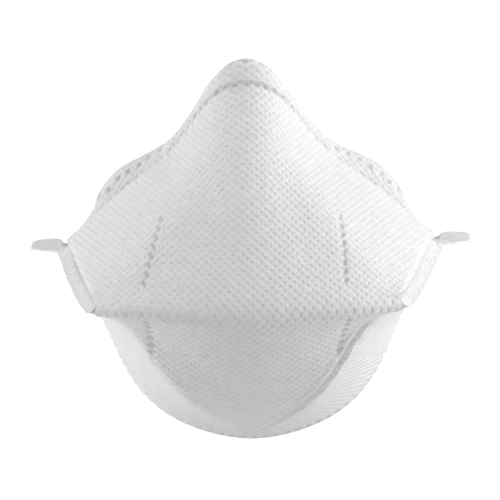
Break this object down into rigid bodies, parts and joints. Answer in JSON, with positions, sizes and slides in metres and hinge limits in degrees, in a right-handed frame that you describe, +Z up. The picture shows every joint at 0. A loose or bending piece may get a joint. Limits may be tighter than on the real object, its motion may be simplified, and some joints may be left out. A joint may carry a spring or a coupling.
{
  "type": "disposable dust mask",
  "caption": "Fold-flat disposable dust mask opened to its worn shape, with a welded layered front, a nose clip, side tabs and elastic head straps.",
  "frame": {"origin": "middle of the face opening, on the line between the two strap tabs", "axes": "+X towards the tab on the right as a viewer in front sees it, +Y from the front fold towards the wearer's face, +Z up to the nose"},
  "size_m": [0.17, 0.0933, 0.1494],
  "materials": {
    "cover_cloth": "matte",
    "wadding": "matte",
    "filter_cloth": "matte",
    "liner_cloth": "matte",
    "welded_cloth": "satin",
    "clip_metal": "satin",
    "foam": "matte",
    "strap_elastic": "matte"
  },
  "bodies": {
    "facepiece": {"outer_cover": "cover_cloth", "wadding_layer": "wadding", "filter_layer": "filter_cloth", "inner_liner": "liner_cloth", "nose_clip": "clip_metal", "nose_foam": "foam", "left_side_seam": "welded_cloth", "right_side_seam": "welded_cloth", "left_strap_tab": "welded_cloth", "right_strap_tab": "welded_cloth", "upper_strap_end_left": "strap_elastic", "upper_strap_end_right": "strap_elastic", "lower_strap_end_left": "strap_elastic", "lower_strap_end_right": "strap_elastic"},
    "upper_head_strap": {"upper_strap": "strap_elastic"},
    "lower_head_strap": {"lower_strap": "strap_elastic"}
  },
  "joints": [
    {"name": "upper_strap_swing", "type": "hinge", "parent": "facepiece", "child": "upper_head_strap", "pos_m": [0, 0.012, -0.0012], "axis": [1, 0, 0], "range_deg": [0, 150]},
    {"name": "lower_strap_swing", "type": "hinge", "parent": "facepiece", "child": "lower_head_strap", "pos_m": [0, 0.006, -0.0012], "axis": [1, 0, 0], "range_deg": [0, 100]}
  ]
}
